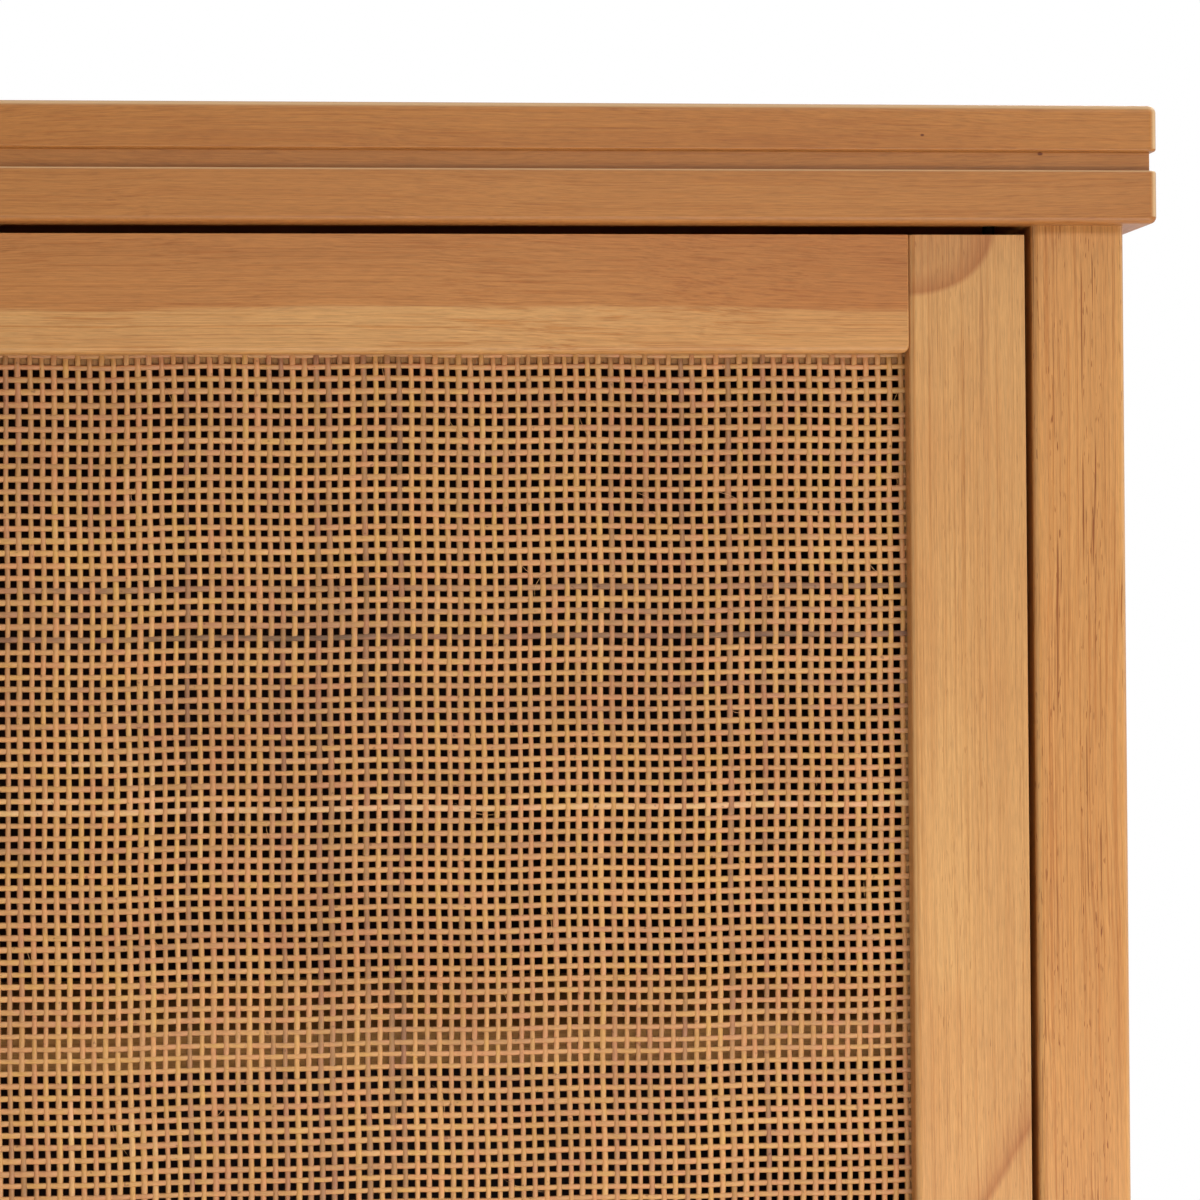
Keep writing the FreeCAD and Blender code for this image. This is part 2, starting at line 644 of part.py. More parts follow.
def make_floor_and_partition():
    """The bottom panel, notched round the posts, and the partition screwed to it from below."""
    floor_low = less(floor_top, "Dims.bottom_thick")
    floor_front = plus(front, "Dims.rail_thick")
    body = board("bottom_panel_blank", ("-" + side_rail_x, floor_front, floor_low),
                 (f"(2 * {side_rail_x})", less(back_rail_y, floor_front), "Dims.bottom_thick"))
    notch = less(side_rail_x, inner)
    corners = {
        "front": (floor_front, less(front_post_back, floor_front)),
        "back": (back_post_front, less(back_rail_y, back_post_front)),
    }
    for end, (start, deep) in corners.items():
        for side, x in [("left", "-" + side_rail_x), ("right", inner)]:
            block(body, "Pocket", f"bottom_notch_{end}_{side}", (x, start, floor_low),
                  (notch, deep, "Dims.bottom_thick"))
    screws = []
    for end, y in [("front", "Dims.partition_peg_in"), ("back", "(-Dims.partition_peg_in)")]:
        across = plus(shelf_front if end == "front" else back_rail_y, y)
        screws.append(screw(f"partition_screw_{end}", ("0", across, plus(floor_low, "Dims.screw_head_high")),
                            "+z", "Dims.partition_screw_long"))
    keep(cut("bottom_panel_bored", body, screws), "bottom_panel")
    keep(group("partition_screw_set", screws), "partition_screws")

    partition = board("partition_blank", ("(-Dims.partition_thick / 2)", shelf_front, floor_top),
                      ("Dims.partition_thick", less(back_rail_y, shelf_front), less(frame_low, floor_top)))
    round_edges(partition, "Dims.edge_round", ["-x -y", "+x -y"])
    left_pegs = mirrored(group("right_pegs", shelf_pegs), "left_pegs")
    bored = cut("partition_bored", partition, shelf_pegs + screws)
    keep(cut("partition_bored_twice", bored, [left_pegs]), "centre_partition")
    keep(group("shelf_peg_set", shelf_pegs + [left_pegs]), "shelf_pegs")


def make_shelves():
    """Loose shelves on pegs, notched round the posts."""
    start = plus("Dims.partition_thick / 2", "Dims.shelf_play")
    end = less(side_panel_x, "Dims.shelf_play")
    back = less(back_rail_y, "Dims.shelf_play")
    post_line = less(inner, "Dims.shelf_play")
    notches = {
        "front": (shelf_front, less(plus(front_post_back, "Dims.shelf_play"), shelf_front)),
        "back": (less(back_post_front, "Dims.shelf_play"),
                 less(back, less(back_post_front, "Dims.shelf_play"))),
    }
    for level, low in [("lower", lower_shelf_low), ("upper", upper_shelf_low)]:
        body = board(f"shelf_{level}_blank", (start, shelf_front, low),
                     (less(end, start), less(back, shelf_front), "Dims.shelf_thick"))
        round_edges(body, "Dims.edge_round", ["-y -z", "-y +z"])
        for side, (notch_start, notch_deep) in notches.items():
            block(body, "Pocket", f"shelf_{level}_notch_{side}", (post_line, notch_start, low),
                  (less(end, post_line), notch_deep, "Dims.shelf_thick"))
        keep_pair(body, f"shelf_{level}")


def make_glides():
    centres = [plus(front, "Dims.post / 2"), less(rear, "Dims.post / 2")]
    glides = []
    for number, y in enumerate(centres, 1):
        glides.append(cylinder(f"glide_{number}", (less(outer, "Dims.post / 2"), y, "0"), "+z",
                               "Dims.glide_radius", "Dims.glide_thick"))
    left = mirrored(group("right_glides", glides), "left_glides")
    keep(group("glide_set", glides + [left]), "foot_glides")


make_posts()
make_side_frames()
make_front_rail()
make_back_frame()
make_floor_and_partition()
make_shelves()
make_glides()


# ---- the doors ----

def make_knob():
    """A turned knob: a waisted neck and a domed head, revolved about an axis that runs forwards."""
    corner = (knob_x, front, knob_z)
    body = new_body("knob_blank", corner)
    sketch = add_sketch(body, "knob_profile", corner)
    centre = FreeCAD.Vector(0, 0)
    foot = FreeCAD.Vector(sheet.get("knob_base"), 0)
    brim = FreeCAD.Vector(sheet.get("knob_head"), -sheet.get("knob_widest"))
    tip = FreeCAD.Vector(0, -sheet.get("knob_reach"))
    waist = FreeCAD.Vector(sheet.get("knob_waist"), -sheet.get("knob_widest") / 2)
    crown = brim.y - tip.y
    dome = (brim.x ** 2 + crown ** 2) / (2 * crown)
    lean = math.asin(brim.x / dome) / 2
    shoulder = tip + FreeCAD.Vector(math.sin(lean), 1 - math.cos(lean)) * dome
    sketch.addGeometry(Part.LineSegment(centre, foot), False)
    sketch.addGeometry(Part.Arc(foot, waist, brim), False)
    sketch.addGeometry(Part.Arc(brim, shoulder, tip), False)
    sketch.addGeometry(Part.LineSegment(tip, centre), False)
    for line, corner_point in enumerate([foot, brim, tip]):
        join_at(sketch, line, line + 1, corner_point)
    sketch.addConstraint(Sketcher.Constraint("Coincident", 0, 1, -1, 1))
    sketch.addConstraint(Sketcher.Constraint("Horizontal", 0))
    sketch.addConstraint(Sketcher.Constraint("Vertical", 3))
    base = sketch.addConstraint(Sketcher.Constraint("DistanceX", 0, 1, 0, 2, foot.x))
    reach = sketch.addConstraint(Sketcher.Constraint("DistanceY", 3, 1, 3, 2, -tip.y))
    sketch.setExpression(f"Constraints[{base}]", "Dims.knob_base")
    sketch.setExpression(f"Constraints[{reach}]", "Dims.knob_reach")
    turned = body.newObject("PartDesign::Revolution", "knob_turned")
    turned.Profile = sketch
    turned.ReferenceAxis = (sketch, ["V_Axis"])
    turned.Angle = 360
    doc.recompute()
    brim_edges = []
    for number, edge in enumerate(turned.Shape.Edges, 1):
        if all(vertex.Point.isEqual(brim, TOLERANCE) for vertex in edge.Vertexes):
            brim_edges.append(f"Edge{number}")
    softened = body.newObject("PartDesign::Fillet", "knob_brim")
    softened.Base = (turned, brim_edges)
    softened.setExpression("Radius", "Dims.knob_brim_round")
    return body


def make_door_frame(tools):
    """Two stiles and two rails, tenoned together and rebated behind for the cane."""
    height = less(door_high, door_low)
    tenon_y = plus(front, "Dims.door_tenon_in")
    rebate_y = plus(front, "Dims.cane_in")
    rebate_deep = "(Dims.door_thick - Dims.cane_in)"
    tenon_high = "(Dims.stile_wide - Dims.rebate - 2 * Dims.door_tenon_shoulder)"
    rail_length = less(opening_right, opening_left)
    rails = {
        "top": (opening_high, "-z", opening_high,
                plus(opening_high, "Dims.rebate + Dims.door_tenon_shoulder")),
        "bottom": (door_low, "+z", less(opening_low, "Dims.rebate"),
                   plus(door_low, "Dims.door_tenon_shoulder")),
    }
    stiles = {"meeting": (meeting_edge, "+x", less(opening_left, "Dims.rebate")),
              "outer": (less(hinge_edge, "Dims.stile_wide"), "-x", opening_right)}
    for name, (start, inside, rebate_x) in stiles.items():
        body = board(f"{name}_stile_blank", (start, front, door_low),
                     ("Dims.stile_wide", "Dims.door_thick", height))
        round_edges(body, "Dims.inner_round", [f"{inside} -y"])
        outside = "-x" if inside == "+x" else "+x"
        round_edges(body, "Dims.edge_round", [f"{outside} -y", f"{outside} +y"])
        block(body, "Pocket", f"{name}_stile_rebate",
              (rebate_x, rebate_y, less(opening_low, "Dims.rebate")),
              ("Dims.rebate", rebate_deep, plus(less(opening_high, opening_low), "2 * Dims.rebate")))
        mortise_x = less(opening_left, "Dims.door_tenon_long") if name == "meeting" else opening_right
        for end, rail in rails.items():
            block(body, "Pocket", f"{name}_stile_mortise_{end}", (mortise_x, tenon_y, rail[3]),
                  ("Dims.door_tenon_long", "Dims.door_tenon_thick", tenon_high))
        keep_pair(cut(f"{name}_stile_bored", body, tools[name]), f"door_{name}_stile")
    for name, (low, inside, rebate_low, tenon_low) in rails.items():
        body = board(f"door_{name}_rail_blank", (opening_left, front, low),
                     (rail_length, "Dims.door_thick", "Dims.stile_wide"))
        outside = "+z" if inside == "-z" else "-z"
        round_edges(body, "Dims.edge_round", ["-x -y", "+x -y"])
        round_edges(body, "Dims.inner_round", [f"{inside} -y"])
        round_edges(body, "Dims.edge_round", [f"{outside} -y", f"{outside} +y"])
        block(body, "Pad", f"door_{name}_rail_tenons",
              (less(opening_left, "Dims.door_tenon_long"), tenon_y, tenon_low),
              (plus(rail_length, "2 * Dims.door_tenon_long"), "Dims.door_tenon_thick", tenon_high))
        block(body, "Pocket", f"door_{name}_rail_rebate", (opening_left, rebate_y, rebate_low),
              (rail_length, rebate_deep, "Dims.rebate"))
        keep_pair(body, f"door_{name}_rail")


def make_cane_and_beads():
    """The woven panel in its rebate, and the four beads that hold it from behind."""
    play = "(Dims.rebate - Dims.cane_play)"
    rebate_low = less(opening_low, "Dims.rebate")
    rebate_left = less(opening_left, "Dims.rebate")
    wide = plus(less(opening_right, opening_left), "2 * Dims.rebate")
    high = plus(less(opening_high, opening_low), "2 * Dims.rebate")
    cane_y = plus(front, "Dims.cane_in")
    panel = box("cane_sheet", (less(opening_left, play), cane_y, less(opening_low, play)),
                (less(wide, "2 * Dims.cane_play"), "Dims.cane_thick", less(high, "2 * Dims.cane_play")))
    keep_pair(panel, "cane_panel")
    bead_y = plus(cane_y, "Dims.cane_thick")
    tall = "(Dims.rebate + Dims.bead_top_show)"
    narrow = "(Dims.rebate + Dims.bead_side_show)"
    side_high = less(high, f"2 * {tall}")
    right_start = less(plus(rebate_left, wide), narrow)
    beads = [
        box("bead_top", (rebate_left, bead_y, less(plus(rebate_low, high), tall)),
            (wide, "Dims.bead_thick", tall)),
        box("bead_bottom", (rebate_left, bead_y, rebate_low), (wide, "Dims.bead_thick", tall)),
        box("bead_left", (rebate_left, bead_y, plus(rebate_low, tall)),
            (narrow, "Dims.bead_thick", side_high)),
        box("bead_right", (right_start, bead_y, plus(rebate_low, tall)),
            (narrow, "Dims.bead_thick", side_high)),
    ]
    keep_pair(group("bead_set", beads), "cane_beads")


def make_catches():
    """A magnet in a plastic housing on the partition, and the steel plate that it pulls on."""
    side = "(Dims.partition_thick / 2)"
    housing = box("catch_body", (side, catch_front, catch_low),
                  ("Dims.catch_wide", "Dims.catch_deep", "Dims.catch_high"))
    magnet_x = plus(side, "(Dims.catch_wide - Dims.magnet_wide) / 2")
    magnet_z = plus(catch_low, "(Dims.catch_high - Dims.magnet_high) / 2")
    magnet = box("magnet", (magnet_x, catch_front, magnet_z),
                 ("Dims.magnet_wide", "Dims.magnet_deep", "Dims.magnet_high"))
    keep_pair(cut("catch_housing", housing, [magnet]), "catch_housing")
    keep(group("magnets", [magnet, mirrored(magnet, "left_magnet")]), "catch_magnets")
    plate_z = plus(catch_low, "(Dims.catch_high - Dims.strike_high) / 2")
    plate = box("strike", (side, less(door_back, "Dims.strike_thick"), plate_z),
                ("Dims.strike_wide", "Dims.strike_thick", "Dims.strike_high"))
    keep_pair(plate, "strike_plate")
    return plate


def make_doors():
    strike = make_catches()
    seat = (knob_x, less(door_back, "Dims.screw_head_high"), knob_z)
    # the knob's screw points forwards, so it is drawn the other way round and then turned over
    shank = cylinder("knob_screw_shank", along(seat, "-y", "Dims.knob_screw_long"), "+y",
                     "Dims.screw_radius", "Dims.knob_screw_long")
    head = cylinder("knob_screw_head", seat, "+y", "Dims.screw_head", "Dims.screw_head_high")
    knob_screw = fuse("knob_screw", [shank, head])
    keep_pair(knob_screw, "knob_screw")
    keep_pair(cut("knob_bored", make_knob(), [knob_screw]), "knob")
    make_door_frame({"meeting": [knob_screw, strike], "outer": [pivot_pins]})
    make_cane_and_beads()
    keep_pair(pivot_pins, "pivot_pins")


make_doors()

right_bushes = group("right_bushes", pivot_bushes)
keep(group("bush_set", [right_bushes, mirrored(right_bushes, "left_bushes")]), "pivot_bushes")
right_brackets = group("right_brackets", top_brackets)
keep(group("bracket_set", [right_brackets, mirrored(right_brackets, "left_brackets")]), "top_brackets")
right_screws = group("right_bracket_screws", bracket_screws)
keep(group("bracket_screw_set", [right_screws, mirrored(right_screws, "left_bracket_screws")]),
     "bracket_screws")


# ---- checks and hand-in ----

doc.recompute()
for item in doc.Objects:
    if "Invalid" in item.State or "Error" in item.State:
        raise RuntimeError(f"{item.Name} failed: {item.State}")
for part in subparts:
    if part.Shape.isNull() or not part.Shape.isValid() or not part.Shape.Solids:
        raise RuntimeError(f"{part.Label} has no valid solid")

os.makedirs("parts", exist_ok=True)
for part in subparts:
    part.Shape.exportStep(f"parts/{part.Label}.step")
    print(f"{part.Label}: {part.Shape.Volume:.0f} mm3 in {len(part.Shape.Solids)} solids")
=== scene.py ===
import math

import bpy
import numpy as np
from mathutils import Matrix, Vector


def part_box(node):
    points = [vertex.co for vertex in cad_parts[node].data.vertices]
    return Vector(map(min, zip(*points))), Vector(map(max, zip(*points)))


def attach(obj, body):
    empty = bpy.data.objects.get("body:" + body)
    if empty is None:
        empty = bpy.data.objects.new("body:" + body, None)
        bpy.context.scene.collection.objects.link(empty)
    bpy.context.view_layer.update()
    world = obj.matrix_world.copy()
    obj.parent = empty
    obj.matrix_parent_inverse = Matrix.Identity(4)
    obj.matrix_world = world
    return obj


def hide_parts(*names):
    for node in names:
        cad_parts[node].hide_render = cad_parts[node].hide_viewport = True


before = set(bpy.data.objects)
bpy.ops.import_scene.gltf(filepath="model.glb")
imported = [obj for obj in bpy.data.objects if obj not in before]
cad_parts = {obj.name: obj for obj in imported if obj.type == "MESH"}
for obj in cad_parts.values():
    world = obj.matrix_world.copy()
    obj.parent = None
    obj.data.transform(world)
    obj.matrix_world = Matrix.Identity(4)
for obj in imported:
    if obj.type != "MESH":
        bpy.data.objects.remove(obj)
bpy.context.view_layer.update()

MM = 0.001
SIDES = ("right", "left")
WHITE = (1.0, 1.0, 1.0)


# ---- camera, light and floor ----

CAMERA_PLACE = (0.1114, -2.0378, 0.7524)
CAMERA_YAW = 0.1120
CAMERA_PITCH = 0.0053
CAMERA_ROLL = -0.0079
CAMERA_LENS = 135.0
CAMERA_SENSOR = 36.0

# Each light's place, the point it faces, its width and height in metres, and its power in watts.
LIGHTS = {
    "overhead": ((0.45, -0.9, 2.4), (0.3, -0.15, 0.7), (1.6, 0.9), 6),
    "ceiling_bank": ((1.1, -2.6, 1.7), (1.1, -2.6, 0.0), (2.2, 1.6), 70),
    "rim": ((1.3, 0.9, 1.9), (0.4, -0.15, 0.95), (1.2, 0.4), 14),
    "low_right": ((0.80, -1.15, 0.12), (0.3, -0.15, 0.6), (1.3, 0.35), 6.2),
}

# The world's light grows from one strength to the other as a direction turns to the bright side.
WORLD_BRIGHT_SIDE = (0.35, 1.0, 0.6)
WORLD_STRENGTH = {"From Min": -0.3, "From Max": 0.4, "To Min": 0.10, "To Max": 1.0}

FLOOR_RADIUS = 2.6
FLOOR_SIDES = 96
FLOOR_DROP = 0.5 * MM
FLOOR_STOPS = ((0.3, (0.86, 0.86, 0.85)), (0.7, (0.90, 0.90, 0.89)))


def add_camera():
    """A long lens in front of the right-hand door, almost level and turned a little to the right."""
    ahead, level = math.cos(CAMERA_YAW), math.cos(CAMERA_PITCH)
    aside = math.sin(CAMERA_YAW)
    forward = Vector((aside * level, ahead * level, math.sin(CAMERA_PITCH)))
    right = Vector((ahead, -aside, 0.0))
    up = right.cross(forward)
    turn = Matrix.Rotation(CAMERA_ROLL, 3, forward).inverted()
    rotation = Matrix((turn @ right, turn @ up, -forward)).transposed()
    data = bpy.data.cameras.new("camera")
    data.lens = CAMERA_LENS
    data.sensor_width = CAMERA_SENSOR
    camera = bpy.data.objects.new("camera", data)
    camera.matrix_world = Matrix.Translation(CAMERA_PLACE) @ rotation.to_4x4()
    bpy.context.scene.collection.objects.link(camera)
    bpy.context.scene.camera = camera


def add_area_light(name, place, target, size, power):
    data = bpy.data.lights.new(name, "AREA")
    data.shape = "RECTANGLE"
    data.size, data.size_y = size
    data.energy = power
    lamp = bpy.data.objects.new(name, data)
    lamp.location = place
    lamp.visible_camera = False
    lamp.rotation_euler = (Vector(target) - Vector(place)).to_track_quat("-Z", "Y").to_euler()
    bpy.context.scene.collection.objects.link(lamp)


def add_world():
    """White where the camera looks. As light it is white behind, above and right, and dim in front."""
    world = bpy.data.worlds.new("studio")
    bpy.context.scene.world = world
    world.use_nodes = True
    nodes, links = world.node_tree.nodes, world.node_tree.links
    nodes.clear()
    direction = nodes.new("ShaderNodeTexCoord")
    towards = nodes.new("ShaderNodeVectorMath")
    towards.operation = "DOT_PRODUCT"
    towards.inputs[1].default_value = WORLD_BRIGHT_SIDE
    links.new(direction.outputs["Generated"], towards.inputs[0])
    strength = nodes.new("ShaderNodeMapRange")
    for key, value in WORLD_STRENGTH.items():
        strength.inputs[key].default_value = value
    links.new(towards.outputs["Value"], strength.inputs["Value"])
    seen, light = nodes.new("ShaderNodeBackground"), nodes.new("ShaderNodeBackground")
    seen.inputs["Color"].default_value = (*WHITE, 1.0)
    links.new(strength.outputs["Result"], light.inputs["Strength"])
    path, mix = nodes.new("ShaderNodeLightPath"), nodes.new("ShaderNodeMixShader")
    links.new(path.outputs["Is Camera Ray"], mix.inputs["Fac"])
    links.new(light.outputs["Background"], mix.inputs[1])
    links.new(seen.outputs["Background"], mix.inputs[2])
    out = nodes.new("ShaderNodeOutputWorld")
    links.new(mix.outputs["Shader"], out.inputs["Surface"])


def add_floor():
    """A pale round floor, small enough to stay below the camera's view."""
    points = [(FLOOR_RADIUS * math.cos(angle), FLOOR_RADIUS * math.sin(angle), -FLOOR_DROP)
              for angle in np.linspace(0, math.tau, FLOOR_SIDES, endpoint=False)]
    mesh = bpy.data.meshes.new("floor")
    mesh.from_pydata(points, [], [tuple(range(FLOOR_SIDES))])
    floor = bpy.data.objects.new("floor", mesh)
    bpy.context.scene.collection.objects.link(floor)
    shader = Shader("pale_floor")
    shader.surface(roughness=0.7)
    shader.colour(shader.ramp(shader.noise((3, 3, 3), detail=2), FLOOR_STOPS))
    mesh.materials.append(shader.material)


# ---- materials ----

class Shader:
    """A Principled material with short calls for the node patterns that this scene repeats."""

    def __init__(self, name):
        self.material = bpy.data.materials.new(name)
        self.material.use_nodes = True
        self.tree = self.material.node_tree
        self.principled = self.tree.nodes["Principled BSDF"]
        self.coordinates = self.node("ShaderNodeTexCoord").outputs["Object"]
        self.tone = WHITE

    def node(self, kind, **settings):
        made = self.tree.nodes.new(kind)
        for key, value in settings.items():
            setattr(made, key, value)
        return made

    def link(self, source, target):
        self.tree.links.new(source, target)

    def fill(self, socket, value):
        """Give a socket a number, a vector, a colour or another node's output."""
        if isinstance(value, bpy.types.NodeSocket):
            self.link(value, socket)
        elif hasattr(value, "__len__") and len(socket.default_value) == 4:
            socket.default_value = (*value, 1.0)
        else:
            socket.default_value = value

    def fill_named(self, node, values):
        for key, value in values.items():
            self.fill(node.inputs[key], value)

    def surface(self, roughness, metallic=0.0, coat=0.0, coat_roughness=0.2, specular=0.5):
        self.fill_named(self.principled, {"Roughness": roughness, "Metallic": metallic,
                                          "Coat Weight": coat, "Coat Roughness": coat_roughness,
                                          "Specular IOR Level": specular})

    def colour(self, source):
        self.fill(self.principled.inputs["Base Color"], source)

    def roughness(self, source):
        self.fill(self.principled.inputs["Roughness"], source)

    def bump(self, height, distance, strength=0.5):
        bump = self.node("ShaderNodeBump")
        self.fill_named(bump, {"Distance": distance, "Strength": strength, "Height": height})
        self.link(bump.outputs["Normal"], self.principled.inputs["Normal"])

    def noise(self, scale, detail, roughness=0.5, offset=(0, 0, 0), source=None, distortion=0.0):
        """Noise with its own number of features per metre along each axis."""
        mapping = self.node("ShaderNodeMapping")
        self.fill_named(mapping, {"Vector": source or self.coordinates, "Scale": scale,
                                  "Location": offset})
        noise = self.node("ShaderNodeTexNoise")
        self.fill_named(noise, {"Vector": mapping.outputs["Vector"], "Scale": 1.0, "Detail": detail,
                                "Roughness": roughness, "Distortion": distortion})
        return noise.outputs["Fac"]

    def ramp(self, source, stops, smooth=False):
        """Greys or colours at places from 0 to 1."""
        ramp = self.node("ShaderNodeValToRGB")
        ramp.color_ramp.interpolation = "EASE" if smooth else "LINEAR"
        elements = ramp.color_ramp.elements
        while len(elements) < len(stops):
            elements.new(0.5)
        for element, (place, value) in zip(elements, stops):
            colour = value if hasattr(value, "__len__") else (value, value, value)
            element.position = place
            element.color = (*colour, 1.0)
        self.link(source, ramp.inputs["Fac"])
        return ramp.outputs["Color"]

    def mix(self, share, first, second, blend="MIX"):
        """A mix node's colour sockets are its inputs 6 and 7 and its output 2."""
        mix = self.node("ShaderNodeMix", data_type="RGBA", blend_type=blend)
        for number, value in ((0, share), (6, first), (7, second)):
            self.fill(mix.inputs[number], value)
        return mix.outputs[2]

    def tint(self, share, source):
        """Multiply a share of the tone so far by another colour."""
        self.tone = self.mix(share, self.tone, source, blend="MULTIPLY")

    def maths(self, operation, *values):
        node = self.node("ShaderNodeMath", operation=operation)
        for socket, value in zip(node.inputs, values):
            self.fill(socket, value)
        return node.outputs["Value"]

    def vector_maths(self, operation, *values):
        node = self.node("ShaderNodeVectorMath", operation=operation)
        for socket, value in zip(node.inputs, values):
            self.fill(socket, value)
        return node.outputs["Value" if operation == "LENGTH" else "Vector"]

    def parts(self, vector):
        """A vector's outputs X, Y and Z."""
        split = self.node("ShaderNodeSeparateXYZ")
        self.link(vector, split.inputs[0])
        return split.outputs

    def sway(self, noise, reach):
        """Noise as a push to either side of zero."""
        return self.maths("MULTIPLY", self.maths("SUBTRACT", noise, 0.5), reach)


def grain_scale(axis, along, across):
    """Features per metre: few along the grain and many across it."""
    return tuple(along if name == axis else across for name in "xyz")


# ---- pine ----

# How far the grain's pattern jumps from one board to the next, and between a board's staves.
SEED_STEPS = (3.7, 1.9, 5.3)
STAVE_JUMP = (7.0, 7.0, 7.0)

# Noise in the grain: features per metre along and across it, detail and roughness.
BROAD = (1.1, 38, 4, 0.6)
YEARS = (1.2, 600, 3, 0.7)
FIBRE = (4.0, 1250, 3, 0.7)
FLECK = (120.0, 2100, 2, 0.6)
PATCH = (5.0, 13, 3, 0.55)
LONG_DASH = (10.0, 1150, 1)
SHORT_DASH = (130.0, 1500, 1)
PORE_CLUSTER = (1.2, 95, 1)
SLOW_WAVE = (1.5, 5, 2)
QUICK_WAVE = (11, 24, 2)
HEART_WAVE = (5.5, 20, 2)

# What each noise does to the tone, and how strongly.
BROAD_PLACES = (0.30, 0.50, 0.70)
YEAR_STOPS = ((0.36, (0.86, 0.71, 0.54)), (0.45, WHITE), (0.55, (1.03, 1.04, 1.04)),
              (0.66, (0.97, 0.92, 0.84)))
FIBRE_STOPS = ((0.34, (0.76, 0.60, 0.42)), (0.48, WHITE), (0.66, (1.12, 1.14, 1.14)))
FLECK_STOPS = ((0.30, 0.78), (0.50, 1.0), (0.70, 1.14))
PATCH_STOPS = ((0.44, WHITE), (0.66, (0.90, 0.78, 0.68)))
STAVE_STOPS = ((0.0, (0.90, 0.86, 0.82)), (1.0, (1.06, 1.05, 1.04)))
FIBRE_SHARE = 0.35
FLECK_SHARE = 0.7
HEART_LINES = 1.5

# Where a mask is on and where it is off.
LONG_DASH_STOPS = ((0.30, 1.0), (0.35, 0.0))
SHORT_DASH_STOPS = ((0.28, 1.0), (0.33, 0.0))
CLUSTER_STOPS = ((0.45, 0.05), (0.56, 1.0))
# The next two set the paler upward edges: partly rubbed wear, partly a painted highlight of light from
# above.
ARRIS_STOPS = ((0.80, 1.0), (0.98, 0.0))
UPWARD_STOPS = ((0.35, 0.0), (0.45, 1.0))
SPECK_STOPS = ((0.45, 1.0), (1.0, 0.0))
RING_STOPS = ((0.0, 0.45), (0.50, 0.40), (0.76, 1.0), (0.82, 0.0))
STRIPE_STOPS = ((0.0, 0.0), (0.55, 0.45), (0.80, 1.0), (1.0, 0.0))

# Roughness and relief.
YEAR_ROUGHNESS = ((0.3, 0.50), (0.7, 0.38))
FIBRE_RELIEF = ((0.3, 0.0), (0.6, 1.0))
PORE_RELIEF = ((0.0, 1.0), (1.0, 0.0))

# How far the grain and the marks' edges waver.
SLOW_REACH = 40 * MM
QUICK_REACH = 4 * MM
HEART_REACH = 16 * MM
RING_REACH = 7 * MM
STRIPE_REACH = 12 * MM

# How wide the heartwood's edge is, how far a ring's ramp runs past its radius, and how much a speck's
# height counts.
HEART_EDGE = 2.5 * MM
RING_MARGIN = 1.25
SPECK_STRETCH = 1.6

# Colours that tint the wood, and the colour of its upward rounded edges: partly rubbed wear and partly
# a painted highlight of light from above.
HEARTWOOD = (0.82, 0.65, 0.50)
MARK_TINT = (0.66, 0.46, 0.36)
PORE_TINT = (0.50, 0.33, 0.21)
SPECK_TINT = (0.34, 0.19, 0.10)
RUBBED_AND_HIGHLIT = (0.86, 0.60, 0.32)


def weakened(stops, strength):
    return tuple((place, value * strength) for place, value in stops)


